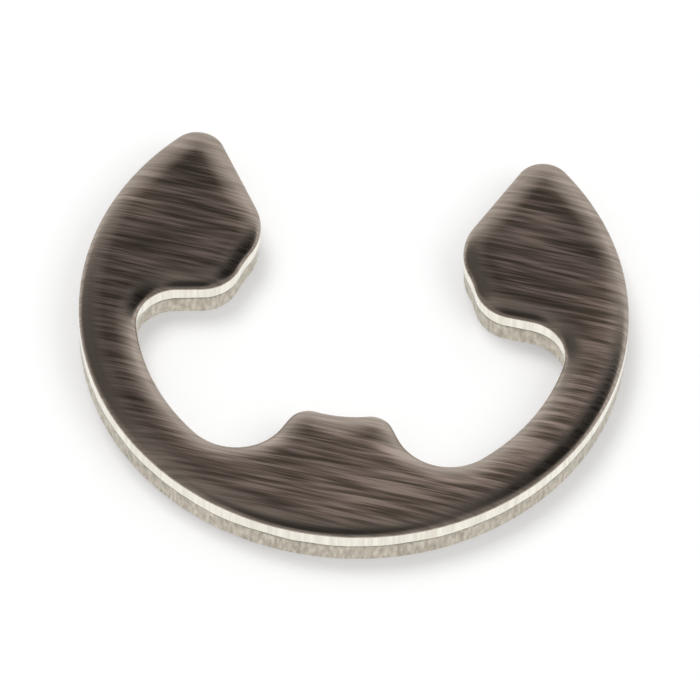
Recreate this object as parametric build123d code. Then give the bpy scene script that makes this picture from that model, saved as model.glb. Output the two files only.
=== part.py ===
from build123d import *
import math
import os

# An E clip: a retaining ring blanked from spring steel sheet, pushed sideways into a shaft's groove.
# It lies on its lower face, with the centre of the groove's circle at the origin and the mouth
# towards +Y. Lengths in millimetres, angles in degrees.

# Ring
outer_diameter = 7.0
ring_width = 0.72           # between the rim and the relief
ring_offset = 0.04          # the ring's centre lies this far from the seat's, towards the mouth
sheet_thickness = 0.6

# Groove seat: three short arcs on one circle, on the two lobes and the prong
seat_diameter = 3.2
lobe_contact_angle = 10.0   # how far each lobe bears on the groove
prong_contact_angle = 24.0  # how far the prong bears on it

# Arms and their lobes
snap_bite = 0.6             # the mouth is this much narrower than the seat, so that the clip snaps on
lead_in_angle = 29.0        # each lead-in's slope from the mouth's axis
underside_angle = 7.0       # each lobe's underside falls this much towards the ring
tip_radius = 0.36
nose_radius = 0.75          # lobe's corner beside the mouth

# Prong
flank_angle = 29.0          # each flank's slope from the prong's axis
prong_corner_radius = 0.3

# Corners inside the ring, as shares of the room between the seat and the relief
heel_share = 0.46           # lobe's lower corner
root_share = 0.45           # between the lobe's underside and the relief
pocket_share = 0.6          # between the prong's flank and the relief

# Blanked edge, from the upper face down: rolled corner, smooth wall, torn wall
roll_width = 0.15           # the roll is a slope this wide and this deep, with a bend at its brow and its foot
roll_depth = 0.08
brow_share = 0.6            # how much of the slope each bend takes up
foot_share = 0.3
tear_height = 0.31
tear_lean = 0.02            # the torn wall comes in this far by the lower face

outer_radius = outer_diameter / 2
relief_radius = outer_radius - ring_width
ring_centre = Vector(0, ring_offset)
seat_radius = seat_diameter / 2
seat_centre = Vector(0, 0)
mouth_gap = seat_diameter - snap_bite
relief_room = relief_radius - seat_radius
heel_radius = relief_room * heel_share
root_radius = relief_room * root_share
pocket_radius = relief_room * pocket_share
roll_slope = math.hypot(roll_width, roll_depth)
roll_angle = math.atan2(roll_depth, roll_width)
brow_radius = roll_slope * brow_share / math.tan(roll_angle / 2)
foot_radius = roll_slope * foot_share / math.tan((math.pi / 2 - roll_angle) / 2)


def direction(angle):
    """Unit vector at an angle from +X."""
    return Vector(1, 0).rotate(Axis.Z, angle)


def line_meets_circle(start, heading, centre, radius):
    """Where a line, followed far enough along its heading, leaves a circle."""
    offset = start - centre
    along = offset.dot(heading)
    reach = math.sqrt(radius**2 - offset.dot(offset) + along**2)
    return start + heading * (reach - along)


def arc_about(centre, start, end):
    """The shorter arc from start to end about a centre."""
    radius = (start - centre).length
    middle = centre + ((start - centre) + (end - centre)).normalized() * radius
    return ThreePointArc(start, middle, end)


def arm_edges():
    """The right arm's edge, from the outer circle over the tip and the lobe to its underside.

    Returns the edges, the point where the tip leaves the outer circle, and the last point.
    """
    nose_angle = math.degrees(math.acos((mouth_gap / 2 + nose_radius) / (seat_radius + nose_radius)))
    heel_angle = nose_angle - lobe_contact_angle
    nose_centre = direction(nose_angle) * (seat_radius + nose_radius)
    heel_centre = direction(heel_angle) * (seat_radius + heel_radius)
    seat_start = direction(nose_angle) * seat_radius
    seat_end = direction(heel_angle) * seat_radius

    lead_in_heading = direction(90 - lead_in_angle)
    mouthward = direction(180 - lead_in_angle)
    lead_in_end = nose_centre + mouthward * nose_radius
    tip_centre = line_meets_circle(
        lead_in_end - mouthward * tip_radius, lead_in_heading, ring_centre, outer_radius - tip_radius
    )
    lead_in_start = tip_centre + mouthward * tip_radius
    tip_start = ring_centre + (tip_centre - ring_centre).normalized() * outer_radius

    underside_start = heel_centre + direction(-90 - underside_angle) * heel_radius
    edges = [
        arc_about(tip_centre, tip_start, lead_in_start),
        Line(lead_in_start, lead_in_end),
        arc_about(nose_centre, lead_in_end, seat_start),
        arc_about(seat_centre, seat_start, seat_end),
        arc_about(heel_centre, seat_end, underside_start),
    ]
    return edges, tip_start, underside_start


def prong_edges():
    """The prong's right half, from its flank to the middle of its contact arc.

    Returns the edges, the point where the flank begins, and the flank's outward heading.
    """
    corner_angle = -90 + prong_contact_angle / 2
    corner_centre = direction(corner_angle) * (seat_radius + prong_corner_radius)
    seat_corner = direction(corner_angle) * seat_radius
    flank_top = corner_centre + direction(flank_angle) * prong_corner_radius
    edges = [
        arc_about(corner_centre, flank_top, seat_corner),
        arc_about(seat_centre, seat_corner, Vector(0, -seat_radius)),
    ]
    return edges, flank_top, direction(flank_angle - 90)


def relief_edges(underside_start, flank_top, flank_heading):
    """The relief's right half, from the lobe's underside round to the prong's flank."""
    underside_heading = direction(-underside_angle)
    below = direction(-90 - underside_angle)
    root_centre = line_meets_circle(
        underside_start + below * root_radius, underside_heading, ring_centre, relief_radius - root_radius
    )
    root_start = root_centre - below * root_radius
    root_end = ring_centre + (root_centre - ring_centre).normalized() * relief_radius

    aside = direction(flank_angle)
    pocket_centre = line_meets_circle(
        flank_top + aside * pocket_radius, flank_heading, ring_centre, relief_radius - pocket_radius
    )
    pocket_start = ring_centre + (pocket_centre - ring_centre).normalized() * relief_radius
    pocket_end = pocket_centre - aside * pocket_radius
    return [
        Line(underside_start, root_start),
        arc_about(root_centre, root_start, root_end),
        arc_about(ring_centre, root_end, pocket_start),
        arc_about(pocket_centre, pocket_start, pocket_end),
        Line(pocket_end, flank_top),
    ]


def outline():
    """The blank's outline: one half as a chain of tangent arcs and lines, and its mirror image."""
    arm, tip_start, underside_start = arm_edges()
    prong, flank_top, flank_heading = prong_edges()
    rim = arc_about(ring_centre, Vector(0, ring_offset - outer_radius), tip_start)
    half = [rim, *arm, *relief_edges(underside_start, flank_top, flank_heading), *prong]
    other_half = [edge.mirror(Plane.YZ) for edge in half]
    return make_face(half + other_half)


def roll_over(blank):
    """Rolls the upper edge over: a shallow slope all round, bent softly into the face and the wall."""
    upper_face = blank.faces().sort_by(Axis.Z)[-1]
    sloped = chamfer(upper_face.edges(), length=roll_width, length2=roll_depth, reference=upper_face)
    foot = sloped.edges().group_by(Axis.Z)[-3]  # below the brow and the seams of the slope
    bent = fillet(foot, foot_radius)
    brow = bent.faces().sort_by(Axis.Z)[-1].edges()
    return fillet(brow, brow_radius)


def tear(blank):
    """Leans the lower part of the wall in, where the metal tore instead of being cut."""
    lower_face = blank.faces().sort_by(Axis.Z)[0]
    return chamfer(lower_face.edges(), length=tear_lean, length2=tear_height, reference=lower_face)


def clip():
    """The clip as it leaves the die: rolled over above, smooth in the middle, torn below."""
    blank = extrude(outline(), amount=sheet_thickness)
    return roll_over(tear(blank))


os.makedirs("parts", exist_ok=True)
export_step(clip(), "parts/e_clip.step")
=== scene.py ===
import math
import bpy
from mathutils import Matrix, Vector
from mathutils.bvhtree import BVHTree


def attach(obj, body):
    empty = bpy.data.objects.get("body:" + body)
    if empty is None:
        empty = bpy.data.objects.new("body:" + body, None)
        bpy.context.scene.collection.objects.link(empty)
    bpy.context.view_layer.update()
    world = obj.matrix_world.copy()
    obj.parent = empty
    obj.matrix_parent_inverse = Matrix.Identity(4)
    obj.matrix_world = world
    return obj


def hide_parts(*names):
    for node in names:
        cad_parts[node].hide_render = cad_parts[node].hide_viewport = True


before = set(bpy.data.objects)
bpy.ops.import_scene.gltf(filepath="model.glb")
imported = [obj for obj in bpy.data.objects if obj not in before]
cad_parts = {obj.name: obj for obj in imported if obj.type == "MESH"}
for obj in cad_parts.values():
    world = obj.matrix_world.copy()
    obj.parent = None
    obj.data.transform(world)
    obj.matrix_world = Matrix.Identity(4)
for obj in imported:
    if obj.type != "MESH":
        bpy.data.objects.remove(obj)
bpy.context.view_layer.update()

mm = 0.001                     # the scene is in metres, the sizes below are in mm and degrees
flatFacing = 0.9               # Z of a face's normal beyond which the face counts as flat
wallFacing = 0.001             # and below which it counts as a plain wall
sharpAngle = 40                # edges that turn more than this stay sharp


def deselectAll():
    if bpy.context.mode != 'OBJECT':
        bpy.ops.object.mode_set(mode='OBJECT')
    bpy.ops.object.select_all(action='DESELECT')


def pick(piece):
    deselectAll()
    piece.select_set(True)
    bpy.context.view_layer.objects.active = piece


def startEditing(piece):
    pick(piece)
    bpy.ops.object.mode_set(mode='EDIT')


def heading(angle):
    # unit vector in the sheet's plane, angle in degrees from +X
    return Vector((math.cos(math.radians(angle)), math.sin(math.radians(angle)), 0))


def lineToCircle(start, along, centre, radius):
    # where a line leaves a circle
    offset = start - centre
    forward = offset.dot(along)
    reach = math.sqrt(radius ** 2 - offset.dot(offset) + forward ** 2)
    return start + along * (reach - forward)


clipSizes = {
    "rimRadius": 3.5,
    "ringWidth": 0.72,
    "ringOffset": 0.04,        # the ring's circles are centred this far towards the mouth
    "thickness": 0.6,
    "seatRadius": 1.6,
    "lobeContact": 10,         # degrees of the seat that each lobe holds
    "prongContact": 24,
    "mouthGap": 2.6,
    "leadIn": 29,              # slope of the edges that lead into the mouth
    "underside": 7,            # slope of the lobes' undersides
    "tipRadius": 0.36,
    "noseRadius": 0.75,
    "heelRadius": 0.543,
    "rootRadius": 0.531,
    "pocketRadius": 0.708,
    "flank": 29,               # slope of the prong's sides
    "prongCorner": 0.3,
    "rollWidth": 0.38,         # the corner rolled over by the die, from outline to flat face
    "rollDepth": 0.11,
    "rollRows": 14,            # rows on its steep part
    "steepTurn": 70,           # degrees of the quarter ellipse that those rows cover
    "faceStep": 0.07,          # spacing of the cuts across the rest of the upper face
    "sagDepth": 0.012,         # the tips and the prong are rolled over further in than the rest
    "sagWidth": 0.40,
    "tipReach": (0.45, 1.15),  # from a tip's centre, where the sag is full and where it ends
    "prongReach": (0.25, 0.85),
    "prongShare": 0.7,         # how much of the sag the prong has
    "tearHeight": 0.31,        # the wall is torn up to here and cut smooth above
    "tearLean": 0.02,
    "tearRows": 9,
    "lowerRing": 0.01,         # narrow ring that keeps the lower edge sharp
    "step": 0.035,             # spacing of the points along the outline
    "arcSteps": 4,             # fewest steps on an arc
    "seam": 0.001,             # points nearer than this to their mirror image are joined
    "join": 0.0005,
    "cutJoin": 0.00001,        # the same for the cuts across the upper face
}


def sweepArc(centre, turn, radius):
    # carries the end point of the chain round an arc, turn in degrees, anticlockwise positive;
    # with no window the spin operator turns the other way, so its angle is negative
    s = clipSizes
    steps = max(s["arcSteps"], round(radius * abs(math.radians(turn)) / s["step"]))
    bpy.ops.mesh.spin(steps=steps, angle=-math.radians(turn), center=centre * mm, axis=(0, 0, 1))


def runStraight(move):
    # carries the end point along a straight run in equal steps
    steps = max(1, round(move.length / clipSizes["step"]))
    for _ in range(steps):
        bpy.ops.mesh.extrude_region_move(TRANSFORM_OT_translate={"value": move * mm / steps})


def turnBetween(centre, start, end, anticlockwise):
    first = math.degrees(math.atan2(start.y - centre.y, start.x - centre.x))
    last = math.degrees(math.atan2(end.y - centre.y, end.x - centre.x))
    turn = (last - first) % 360
    return turn if anticlockwise else turn - 360


def drawHalfOutline():
    # from the bottom of the rim round one arm to the middle of the prong, gives the tip's centre
    s = clipSizes
    seat = Vector((0, 0, 0))
    ring = Vector((0, s["ringOffset"], 0))
    reliefRadius = s["rimRadius"] - s["ringWidth"]

    noseReach = s["seatRadius"] + s["noseRadius"]
    noseAngle = math.degrees(math.acos((s["mouthGap"] / 2 + s["noseRadius"]) / noseReach))
    heelAngle = noseAngle - s["lobeContact"]
    noseCentre = heading(noseAngle) * noseReach
    heelCentre = heading(heelAngle) * (s["seatRadius"] + s["heelRadius"])
    seatStart = heading(noseAngle) * s["seatRadius"]
    seatEnd = heading(heelAngle) * s["seatRadius"]

    inward = heading(180 - s["leadIn"])
    leadInEnd = noseCentre + inward * s["noseRadius"]
    tipCentre = lineToCircle(leadInEnd - inward * s["tipRadius"], heading(90 - s["leadIn"]),
                             ring, s["rimRadius"] - s["tipRadius"])
    leadInStart = tipCentre + inward * s["tipRadius"]
    tipStart = ring + (tipCentre - ring).normalized() * s["rimRadius"]

    down = heading(-90 - s["underside"])
    undersideStart = heelCentre + down * s["heelRadius"]
    rootCentre = lineToCircle(undersideStart + down * s["rootRadius"], heading(-s["underside"]),
                              ring, reliefRadius - s["rootRadius"])
    rootStart = rootCentre - down * s["rootRadius"]
    rootEnd = ring + (rootCentre - ring).normalized() * reliefRadius

    aside = heading(s["flank"])
    cornerAngle = s["prongContact"] / 2 - 90
    cornerCentre = heading(cornerAngle) * (s["seatRadius"] + s["prongCorner"])
    flankTop = cornerCentre + aside * s["prongCorner"]
    pocketCentre = lineToCircle(flankTop + aside * s["pocketRadius"], heading(s["flank"] - 90),
                                ring, reliefRadius - s["pocketRadius"])
    pocketStart = ring + (pocketCentre - ring).normalized() * reliefRadius
    pocketEnd = pocketCentre - aside * s["pocketRadius"]
    seatCorner = heading(cornerAngle) * s["seatRadius"]

    def roundCorner(centre, start, end, radius, anticlockwise=True):
        sweepArc(centre, turnBetween(centre, start, end, anticlockwise), radius)

    rimStart = ring + heading(-90) * s["rimRadius"]
    roundCorner(ring, rimStart, tipStart, s["rimRadius"])
    roundCorner(tipCentre, tipStart, leadInStart, s["tipRadius"])
    runStraight(leadInEnd - leadInStart)
    roundCorner(noseCentre, leadInEnd, seatStart, s["noseRadius"])
    sweepArc(seat, -s["lobeContact"], s["seatRadius"])
    roundCorner(heelCentre, seatEnd, undersideStart, s["heelRadius"])
    runStraight(rootStart - undersideStart)
    roundCorner(rootCentre, rootStart, rootEnd, s["rootRadius"], anticlockwise=False)
    roundCorner(ring, rootEnd, pocketStart, reliefRadius, anticlockwise=False)
    roundCorner(pocketCentre, pocketStart, pocketEnd, s["pocketRadius"], anticlockwise=False)
    runStraight(flankTop - pocketEnd)
    roundCorner(cornerCentre, flankTop, seatCorner, s["prongCorner"])
    sweepArc(seat, -s["prongContact"] / 2, s["seatRadius"])
    return tipCentre


def selectFlatFace(piece, up):
    # the one many-sided face that closes the top, up 1, or the bottom, up -1
    bpy.ops.mesh.select_all(action='DESELECT')
    bpy.ops.object.mode_set(mode='OBJECT')
    for face in piece.data.polygons:
        face.select = len(face.vertices) > 4 and face.normal.z * up > flatFacing
    bpy.ops.object.mode_set(mode='EDIT')
    bpy.ops.mesh.select_mode(type='FACE')


def cutIntoSquares():
    # cuts the selected face across both ways, so that it can be domed
    s = clipSizes
    reach = s["rimRadius"] + s["ringOffset"]
    cuts = round(reach / s["faceStep"])
    bpy.ops.mesh.hide(unselected=True)
    for across in ((1, 0, 0), (0, 1, 0)):
        for cut in range(-cuts, cuts + 1):
            bpy.ops.mesh.select_all(action='SELECT')
            bpy.ops.mesh.bisect(plane_co=Vector(across) * cut * s["faceStep"] * mm,
                                plane_no=across, threshold=s["cutJoin"] * mm)
    bpy.ops.mesh.reveal(select=False)


def nearness(spot, centre, reach):
    # 1 near the centre, falling to 0
    full, gone = reach
    return min(1, max(0, (gone - (spot - centre).length) / (gone - full)))


def moveFace(piece, group, height):
    # each point moves up by its weight times the height
    move = piece.modifiers.new(group.name, 'DISPLACE')
    move.vertex_group = group.name
    move.direction = 'Z'
    move.mid_level = 0
    move.strength = height * mm
    bpy.ops.object.modifier_apply(modifier=move.name)


def domeUpperFace(piece, tip):
    # the roll dies out softly towards the middle: each point rises by how far it is from the wall
    s = clipSizes
    wallTop = s["thickness"] - s["rollDepth"]
    start = s["thickness"] - s["rollDepth"] * (1 - math.sin(math.radians(s["steepTurn"])))
    walls = [tuple(face.vertices) for face in piece.data.polygons
             if abs(face.normal.z) < wallFacing and face.center.z < wallTop * mm]
    edge = BVHTree.FromPolygons([point.co for point in piece.data.vertices], walls)
    rise = piece.vertex_groups.new(name="upperFace")
    sag = piece.vertex_groups.new(name="tipsAndProng")
    prong = Vector((0, -s["seatRadius"], 0))
    for point in piece.data.vertices:
        if point.co.z < (wallTop + s["join"]) * mm:
            continue
        middle = Vector((point.co.x, point.co.y, (wallTop + s["tearHeight"]) / 2 * mm))
        inward = edge.find_nearest(middle)[3] / mm
        if point.co.z > (start - s["join"]) * mm:
            share = max(0, 1 - inward / s["rollWidth"])
            drop = s["rollDepth"] * (1 - math.sqrt(1 - share ** 2))
            rise.add([point.index], max(0, 1 - drop / (s["thickness"] - start)), 'REPLACE')
        spot = Vector((abs(point.co.x), point.co.y, 0)) / mm
        near = max(nearness(spot, tip, s["tipReach"]),
                   s["prongShare"] * nearness(spot, prong, s["prongReach"]))
        hump = math.sin(math.pi * min(1, inward / s["sagWidth"])) ** 2
        sag.add([point.index], near * hump, 'REPLACE')
    moveFace(piece, rise, s["thickness"] - start)
    moveFace(piece, sag, -s["sagDepth"])
    print("upper face domed")


def modelClip():
    s = clipSizes
    start = Vector((0, s["ringOffset"] - s["rimRadius"], s["tearHeight"])) * mm
    deselectAll()
    bpy.ops.mesh.primitive_plane_add(size=s["step"] * mm, location=start)
    clip = bpy.context.active_object
    clip.name = "clipBody"
    bpy.ops.object.transform_apply(location=True, rotation=True, scale=True)

    # one half of the outline, carried round from a single point where the tear starts
    startEditing(clip)
    bpy.ops.mesh.select_all(action='SELECT')
    bpy.ops.mesh.merge(type='CENTER')
    tip = drawHalfOutline()
    bpy.ops.object.mode_set(mode='OBJECT')
    print("half outline drawn,", len(clip.data.vertices), "points")

    # the other half, and the flat sheet inside the outline
    mirror = clip.modifiers.new("otherHalf", 'MIRROR')
    mirror.use_axis = (True, False, False)
    mirror.merge_threshold = s["seam"] * mm
    bpy.ops.object.modifier_apply(modifier=mirror.name)
    startEditing(clip)
    bpy.ops.mesh.select_all(action='SELECT')
    bpy.ops.mesh.remove_doubles(threshold=s["join"] * mm)
    bpy.ops.mesh.edge_face_add()

    # smooth cut wall, raised from the sheet
    wallHeight = s["thickness"] - s["rollDepth"] - s["tearHeight"]
    bpy.ops.mesh.extrude_region_move(TRANSFORM_OT_translate={"value": (0, 0, wallHeight * mm)})
    bpy.ops.mesh.select_all(action='SELECT')
    bpy.ops.mesh.normals_make_consistent(inside=False)

    # steep part of the rolled corner: the upper face goes in and up round a quarter ellipse
    selectFlatFace(clip, 1)
    turn = math.radians(s["steepTurn"]) / s["rollRows"]
    for row in range(s["rollRows"]):
        goIn = s["rollWidth"] * (math.cos(row * turn) - math.cos((row + 1) * turn))
        goUp = s["rollDepth"] * (math.sin((row + 1) * turn) - math.sin(row * turn))
        bpy.ops.mesh.inset(thickness=goIn * mm, depth=goUp * mm, use_even_offset=True)
    cutIntoSquares()

    # torn wall: the lower face goes in and down
    selectFlatFace(clip, -1)
    for row in range(s["tearRows"]):
        bpy.ops.mesh.inset(thickness=s["tearLean"] * mm / s["tearRows"],
                           depth=s["tearHeight"] * mm / s["tearRows"], use_even_offset=True)
    bpy.ops.mesh.inset(thickness=s["lowerRing"] * mm, depth=0)
    bpy.ops.object.mode_set(mode='OBJECT')
    domeUpperFace(clip, tip)
    print("clip closed,", len(clip.data.polygons), "faces")
    return clip


tearRoughness = {
    "grainDepth": 0.014,       # pits of the torn metal
    "grainScale": 0.07,
    "grainFrom": 0.02,         # the pits start this far above the lower face
    "grainStop": 0.01,         # and end this far below the start of the tear
    "lineWave": 0.05,          # how far the start of the tear wanders up and down
    "lineScale": 0.55,
    "lineBelow": 0.08,         # the band that wanders, below and above the start of the tear
    "lineAbove": 0.01,
    "detail": 2,
}


def pushBand(piece, name, lowest, highest, scale, strength, direction, midLevel):
    # moves one band of the wall, picked by its height, with a cloud pattern
    band = piece.vertex_groups.new(name=name)
    inside = [v.index for v in piece.data.vertices if lowest * mm < v.co.z < highest * mm]
    band.add(inside, 1, 'ADD')
    cloud = bpy.data.textures.new(name, 'CLOUDS')
    cloud.noise_scale = scale * mm
    cloud.noise_depth = tearRoughness["detail"]
    push = piece.modifiers.new(name, 'DISPLACE')
    push.texture = cloud
    push.texture_coords = 'LOCAL'
    push.direction = direction
    push.strength = strength * mm
    push.mid_level = midLevel
    push.vertex_group = band.name
    bpy.ops.object.modifier_apply(modifier=push.name)


def roughenTear(piece):
    # the pits only go in, the line wanders both ways
    t = tearRoughness
    top = clipSizes["tearHeight"]
    pick(piece)
    pushBand(piece, "tornWall", t["grainFrom"], top - t["grainStop"],
             t["grainScale"], t["grainDepth"], 'NORMAL', 1)
    pushBand(piece, "tearLine", top - t["lineBelow"], top + t["lineAbove"],
             t["lineScale"], t["lineWave"], 'Z', 0.5)
    print("torn wall roughened")


clip = modelClip()
roughenTear(clip)


def newMaterial(name):
    material = bpy.data.materials.new(name)
    material.use_nodes = True
    tree = material.node_tree
    tree.nodes.clear()
    output = tree.nodes.new('ShaderNodeOutputMaterial')
    shader = tree.nodes.new('ShaderNodeBsdfPrincipled')
    tree.links.new(shader.outputs['BSDF'], output.inputs['Surface'])
    return material, tree, shader


def node(tree, kind, inputs=None, **settings):
    # a new node, its inputs linked where a socket is given and set where a value is
    made = tree.nodes.new(kind)
    for key, value in settings.items():
        setattr(made, key, value)
    for key, value in (inputs or {}).items():
        if hasattr(value, "is_output"):
            tree.links.new(value, made.inputs[key])
        else:
            made.inputs[key].default_value = value
    return made


def streakLayer(tree, coords, finish, length, width, detail):
    # noise drawn out along the piece's X, turned a little
    placed = node(tree, 'ShaderNodeMapping', {
        'Vector': coords,
        'Rotation': (0, 0, math.radians(finish["streakTurn"])),
        'Scale': (length * mm, width * mm, 1),
    }, vector_type='TEXTURE')
    grain = node(tree, 'ShaderNodeTexNoise', {
        'Vector': placed.outputs['Vector'],
        'Scale': 1.0,
        'Detail': detail,
        'Roughness': finish["streakFineness"],
    }, noise_dimensions='2D')
    return grain.outputs['Fac']


def wallGrain(tree, coords, finish):
    # fine grain that runs up the wall
    across, up = finish["grain"]
    placed = node(tree, 'ShaderNodeMapping', {
        'Vector': coords,
        'Scale': (1 / (across * mm), 1 / (across * mm), 1 / (up * mm)),
    })
    grain = node(tree, 'ShaderNodeTexNoise', {
        'Vector': placed.outputs['Vector'], 'Scale': 1.0, 'Detail': finish["detail"]})
    return grain.outputs['Fac']


def weighted(tree, parts):
    total = None
    for value, weight in parts:
        share = node(tree, 'ShaderNodeMath', {0: value, 1: weight}, operation='MULTIPLY').outputs[0]
        if total is None:
            total = share
        else:
            total = node(tree, 'ShaderNodeMath', {0: total, 1: share}).outputs[0]
    return total


def ramp(tree, fac, places, colours):
    made = tree.nodes.new('ShaderNodeValToRGB')
    tree.links.new(fac, made.inputs['Fac'])
    elements = made.color_ramp.elements
    while len(elements) < len(places):
        elements.new(0.5)
    for element, place, colour in zip(elements, places, colours):
        element.position = place
        element.color = (*colour, 1)
    return made.outputs['Color']


def mapRange(tree, value, start, end, low=0, high=1):
    # start becomes low and end becomes high
    return node(tree, 'ShaderNodeMapRange', {
        'Value': value, 'From Min': start, 'From Max': end, 'To Min': low, 'To Max': high,
    }).outputs['Result']


def mixColours(tree, factor, first, second, blend):
    # the mix node's colours are its sockets 6 and 7, and its colour comes out at 2
    return node(tree, 'ShaderNodeMix', {0: factor, 6: first, 7: second},
                data_type='RGBA', blend_type=blend).outputs[2]


groundFinish = {
    "dark": (0.074, 0.059, 0.047),
    "base": (0.155, 0.120, 0.102),
    "light": (0.27, 0.215, 0.190),
    "streakStops": (0.37, 0.50, 0.62),
    "streakTurn": -7.5,        # the grinding runs down towards +X
    "streakFineness": 0.55,
    # each layer of streaks: length, width, detail, weight
    "streaks": ((1.7, 0.11, 0, 0.26), (0.8, 0.050, 1, 0.43), (0.7, 0.017, 1, 0.31)),
    "toneDark": (0.62, 0.63, 0.61),
    "toneLight": (1.55, 1.53, 1.52),
    "toneStops": (0.25, 0.75),
    "patchSize": 2.0,          # broad changes of tone
    "patchDetail": 1.0,
    "paintedLightRim": (-3.0, 0.17),    # painted light: Y at the rim below the prong, and how much lighter it is drawn there
    "paintedShadeMouth": (-0.2, -0.17),     # painted shade: Y above which it is drawn darker
    "shoulderDark": (0.315, 0.263, 0.222),
    "shoulderLight": (0.43, 0.367, 0.316),
    "shoulder": (0.002, 0.036),  # how far below the top the rubbed metal and the painted sheen start and are full
    "swing": (0.38, 0.62),     # range of the streaks that the shoulder and the roughness follow
    "roughness": (0.29, 0.17),
    "bump": (0.35, 0.004),     # strength and depth
}


def groundSteel():
    f = groundFinish
    material, tree, shader = newMaterial("groundSteel")
    coords = tree.nodes.new('ShaderNodeTexCoord').outputs['Object']
    layers = [(streakLayer(tree, coords, f, length, width, detail), weight)
              for length, width, detail, weight in f["streaks"]]
    mixed = weighted(tree, layers)
    streaks = ramp(tree, mixed, f["streakStops"], (f["dark"], f["base"], f["light"]))
    place = node(tree, 'ShaderNodeSeparateXYZ', {'Vector': coords})

    # broad change of tone over the sheet: random patches of tone, plus painted light and shade,
    # lighter at the rim below the prong and darker towards the mouth
    patches = node(tree, 'ShaderNodeTexNoise', {
        'Vector': coords, 'Scale': 1 / (f["patchSize"] * mm), 'Detail': f["patchDetail"]})
    (paintedLightY, paintedLighter), (paintedShadeY, paintedDarker) = f["paintedLightRim"], f["paintedShadeMouth"]
    # painted light and shade: lighter towards the rim below the prong, darker towards the mouth
    along = mapRange(tree, place.outputs['Y'], paintedLightY * mm, paintedShadeY * mm, paintedLighter, paintedDarker)
    level = node(tree, 'ShaderNodeMath', {0: patches.outputs['Fac'], 1: along})
    tone = ramp(tree, level.outputs[0], f["toneStops"], (f["toneDark"], f["toneLight"]))
    toned = mixColours(tree, 1, streaks, tone, 'MULTIPLY')

    # the rolled shoulder is drawn lighter, most of all where it is steep: partly rubbed metal,
    # partly painted sheen standing in for the bright surroundings it reflects
    height = place.outputs['Z']
    top = clipSizes["thickness"]
    starts, full = f["shoulder"]
    below = mapRange(tree, height, (top - starts) * mm, (top - full) * mm)
    above = node(tree, 'ShaderNodeMath', {0: height, 1: top / 2 * mm}, operation='GREATER_THAN')
    shoulder = node(tree, 'ShaderNodeMath', {0: below, 1: above.outputs[0]}, operation='MULTIPLY')
    # rubbed wear mixed with painted sheen
    wearAndPaintedSheen = ramp(tree, mixed, f["swing"], (f["shoulderDark"], f["shoulderLight"]))
    colour = mixColours(tree, shoulder.outputs[0], toned, wearAndPaintedSheen, 'MIX')
    tree.links.new(colour, shader.inputs['Base Color'])

    rough = mapRange(tree, mixed, *f["swing"], *f["roughness"])
    strength, depth = f["bump"]
    bump = node(tree, 'ShaderNodeBump', {
        'Strength': strength, 'Distance': depth * mm, 'Height': mixed})
    tree.links.new(rough, shader.inputs['Roughness'])
    tree.links.new(bump.outputs['Normal'], shader.inputs['Normal'])
    shader.inputs['Metallic'].default_value = 1.0
    return material


cutFinish = {
    # lighter than plain steel: partly the burnished metal, partly a painted highlight
    "dark": (0.78, 0.74, 0.64),
    "light": (0.92, 0.885, 0.785),
    "stops": (0.35, 0.65),
    "grain": (0.05, 0.9),      # across and up
    "detail": 3.0,
    "roughness": 0.22,
    "band": 0.02,              # how near the middle of the wall the middle of its faces lies
}


def cutSteel():
    f = cutFinish
    material, tree, shader = newMaterial("cutSteel")
    coords = tree.nodes.new('ShaderNodeTexCoord').outputs['Object']
    grain = wallGrain(tree, coords, f)
    # the wall's colour holds a painted highlight on top of the burnished metal
    colour = ramp(tree, grain, f["stops"], (f["dark"], f["light"]))
    tree.links.new(colour, shader.inputs['Base Color'])
    shader.inputs['Metallic'].default_value = 1.0
    shader.inputs['Roughness'].default_value = f["roughness"]
    return material


tornFinish = {
    "dark": (0.40, 0.36, 0.295),
    "light": (0.70, 0.65, 0.55),
    "stops": (0.30, 0.70),
    "grain": (0.05, 0.16),     # across and up
    "detail": 3.0,
    "paintedShadeWidth": 0.06,         # painted shade: the metal is drawn darkest where the tear starts
    "paintedShadeTone": 0.45,
    "roughness": 0.5,
    "bump": (0.4, 0.008),      # strength and depth
}


def tornSteel():
    f = tornFinish
    material, tree, shader = newMaterial("tornSteel")
    coords = tree.nodes.new('ShaderNodeTexCoord').outputs['Object']
    grain = wallGrain(tree, coords, f)
    colour = ramp(tree, grain, f["stops"], (f["dark"], f["light"]))
    height = node(tree, 'ShaderNodeSeparateXYZ', {'Vector': coords}).outputs['Z']
    start = clipSizes["tearHeight"]
    # painted shade: darker towards the start of the tear
    shade = mapRange(tree, height, (start - f["paintedShadeWidth"]) * mm, start * mm, 1, f["paintedShadeTone"])
    shaded = node(tree, 'ShaderNodeVectorMath', {0: colour, 'Scale': shade}, operation='SCALE')
    strength, depth = f["bump"]
    bump = node(tree, 'ShaderNodeBump', {
        'Strength': strength, 'Distance': depth * mm, 'Height': grain})
    tree.links.new(shaded.outputs[0], shader.inputs['Base Color'])
    tree.links.new(bump.outputs['Normal'], shader.inputs['Normal'])
    shader.inputs['Metallic'].default_value = 1.0
    shader.inputs['Roughness'].default_value = f["roughness"]
    return material


def dressClip(piece):
    ground, cut, torn = range(3)
    for material in (groundSteel(), cutSteel(), tornSteel()):
        piece.data.materials.append(material)
    s = clipSizes
    wallTop = s["thickness"] - s["rollDepth"]
    for face in piece.data.polygons:
        height = face.center.z / mm
        if face.normal.z < -flatFacing or height > wallTop:
            face.material_index = ground
        elif abs(height - (wallTop + s["tearHeight"]) / 2) < cutFinish["band"]:
            face.material_index = cut
        else:
            face.material_index = torn
    pick(piece)
    bpy.ops.object.shade_smooth_by_angle(angle=math.radians(sharpAngle))
    print("clip dressed")


dressClip(clip)
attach(clip, "root")
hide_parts("e_clip")


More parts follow.
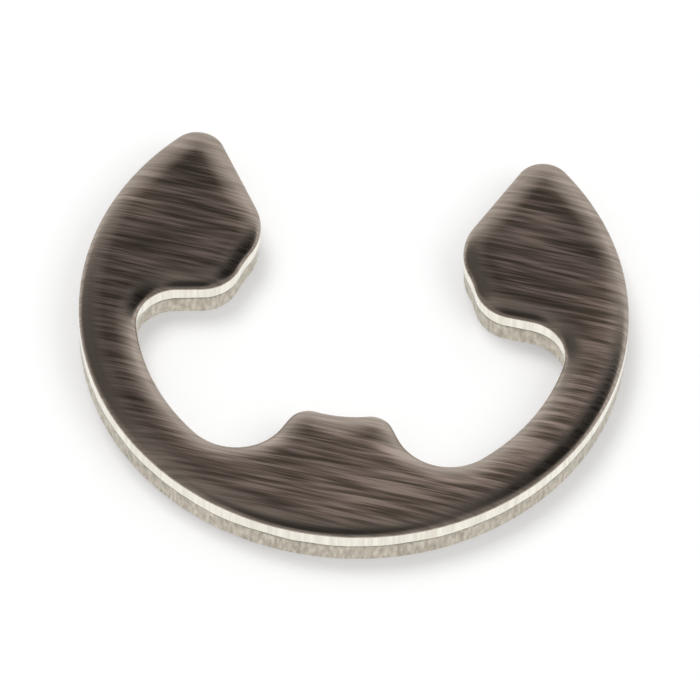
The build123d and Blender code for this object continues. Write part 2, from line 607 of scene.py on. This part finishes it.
floorFinish = {
    "size": 600,
    "below": 0.004,            # just under the clip
    "colour": (0.8, 0.8, 0.8, 1),
    "roughness": 0.9,
    "gloss": 0.0,
    "glow": 0.22,              # with the light on it, white to the eye
}
white = (1, 1, 1, 1)


def makeFloor():
    f = floorFinish
    bpy.ops.mesh.primitive_plane_add(size=f["size"] * mm, location=(0, 0, -f["below"] * mm))
    floor = bpy.context.active_object
    floor.name = "floor"
    material, tree, shader = newMaterial("paleFloor")
    shader.inputs['Base Color'].default_value = f["colour"]
    shader.inputs['Roughness'].default_value = f["roughness"]
    shader.inputs['Specular IOR Level'].default_value = f["gloss"]
    path = tree.nodes.new('ShaderNodeLightPath')
    glow = node(tree, 'ShaderNodeMath', {0: path.outputs['Is Camera Ray'], 1: f["glow"]},
                operation='MULTIPLY')
    shader.inputs['Emission Color'].default_value = white
    tree.links.new(glow.outputs[0], shader.inputs['Emission Strength'])
    # to metal the floor is plain white, and from below it is clear, so that the lower face shows
    plain = node(tree, 'ShaderNodeEmission', {'Color': white, 'Strength': 1.0})
    mirrored = node(tree, 'ShaderNodeMixShader', {
        0: path.outputs['Is Glossy Ray'], 1: shader.outputs['BSDF'], 2: plain.outputs['Emission']})
    side = tree.nodes.new('ShaderNodeNewGeometry')
    clear = tree.nodes.new('ShaderNodeBsdfTransparent')
    both = node(tree, 'ShaderNodeMixShader', {
        0: side.outputs['Backfacing'], 1: mirrored.outputs[0], 2: clear.outputs['BSDF']})
    tree.links.new(both.outputs[0], tree.nodes['Material Output'].inputs['Surface'])
    floor.data.materials.append(material)


studio = {
    "plainLight": 0.55,
    "farSide": (0.2, 0.8, -0.52),   # metal sees a white horizon there and grey everywhere else
    "toneStops": (0.30, 0.43, 0.505, 0.550, 0.595, 0.635),
    "tones": ((0.40, 0.39, 0.38), (0.43, 0.42, 0.41), (0.47, 0.46, 0.45),
              (0.78, 0.76, 0.75), (0.95, 0.94, 0.93), (1, 1, 1)),
    # dark cards by the camera and on both sides: direction, the cosines at the soft edge and
    # at the middle, how much light is left
    "darkCards": (((-0.05, -0.38, 0.924), 0.86, 0.965, 0.13),
                  ((0.55, 0.26, 0.794), 0.88, 0.96, 0.04),
                  ((-0.62, 0.42, 0.66), 0.895, 0.965, 0.35)),
}


def makeWorld():
    world = bpy.data.worlds.new("studio")
    bpy.context.scene.world = world
    world.use_nodes = True
    tree = world.node_tree
    tree.nodes.clear()
    output = tree.nodes.new('ShaderNodeOutputWorld')
    coords = tree.nodes.new('ShaderNodeTexCoord').outputs['Generated']

    def facing(direction):
        towards = node(tree, 'ShaderNodeVectorMath', {0: coords, 1: direction},
                       operation='DOT_PRODUCT')
        return towards.outputs['Value']

    level = mapRange(tree, facing(studio["farSide"]), -1, 1)
    tone = ramp(tree, level, studio["toneStops"], studio["tones"])
    for direction, edge, middle, left in studio["darkCards"]:
        card = mapRange(tree, facing(direction), edge, middle, 1, left)
        dimmed = node(tree, 'ShaderNodeVectorMath', {0: tone, 'Scale': card}, operation='SCALE')
        tone = dimmed.outputs[0]

    glossy = node(tree, 'ShaderNodeBackground', {'Color': tone, 'Strength': 1.0})
    plain = node(tree, 'ShaderNodeBackground', {'Color': white, 'Strength': studio["plainLight"]})
    backdrop = node(tree, 'ShaderNodeBackground', {'Color': white, 'Strength': 1.0})
    path = tree.nodes.new('ShaderNodeLightPath')
    first = node(tree, 'ShaderNodeMixShader', {
        0: path.outputs['Is Glossy Ray'], 1: plain.outputs[0], 2: glossy.outputs[0]})
    second = node(tree, 'ShaderNodeMixShader', {
        0: path.outputs['Is Camera Ray'], 1: first.outputs[0], 2: backdrop.outputs[0]})
    tree.links.new(second.outputs[0], output.inputs['Surface'])


# each lamp: place and size in metres, watts
lamps = {
    "keyLamp": ((-0.10, 0.12, 0.30), 0.16, 0.45),
    "fillLamp": ((0.20, -0.10, 0.25), 0.20, 0.22),
}


def makeLamps():
    for name, (place, size, watts) in lamps.items():
        bpy.ops.object.light_add(type='AREA', location=place)
        lamp = bpy.context.active_object
        lamp.name = name
        lamp.data.size = size
        lamp.data.energy = watts
        lamp.rotation_euler = (-Vector(place)).to_track_quat('-Z', 'Y').to_euler()
        lamp.visible_glossy = False


cameraView = {
    "azimuth": 3.4,
    "elevation": 54.7,
    "roll": 2.5,
    "distance": 300,
    "frameWidth": 8.9,         # at the clip
    "target": (0.0, -0.42, 0.3),
    "sensor": 36,
    "clipping": (5, 2000),     # nearest and furthest that it sees
}


def makeCamera():
    v = cameraView
    azimuth, elevation = math.radians(v["azimuth"]), math.radians(v["elevation"])
    forward = Vector((-math.sin(azimuth) * math.cos(elevation),
                      math.cos(azimuth) * math.cos(elevation),
                      -math.sin(elevation)))
    target = Vector(v["target"]) * mm
    bpy.ops.object.camera_add(location=target - forward * v["distance"] * mm)
    camera = bpy.context.active_object
    camera.rotation_mode = 'QUATERNION'
    turn = Matrix.Rotation(math.radians(v["roll"]), 3, -forward).to_quaternion()
    camera.rotation_quaternion = turn @ forward.to_track_quat('-Z', 'Y')
    camera.data.sensor_width = v["sensor"]
    camera.data.lens = v["sensor"] * v["distance"] / v["frameWidth"]
    nearest, furthest = v["clipping"]
    camera.data.clip_start = nearest * mm
    camera.data.clip_end = furthest * mm
    bpy.context.scene.camera = camera


makeFloor()
makeWorld()
makeLamps()
makeCamera()
bpy.context.scene.view_settings.view_transform = 'Standard'
print("floor, light and camera ready")
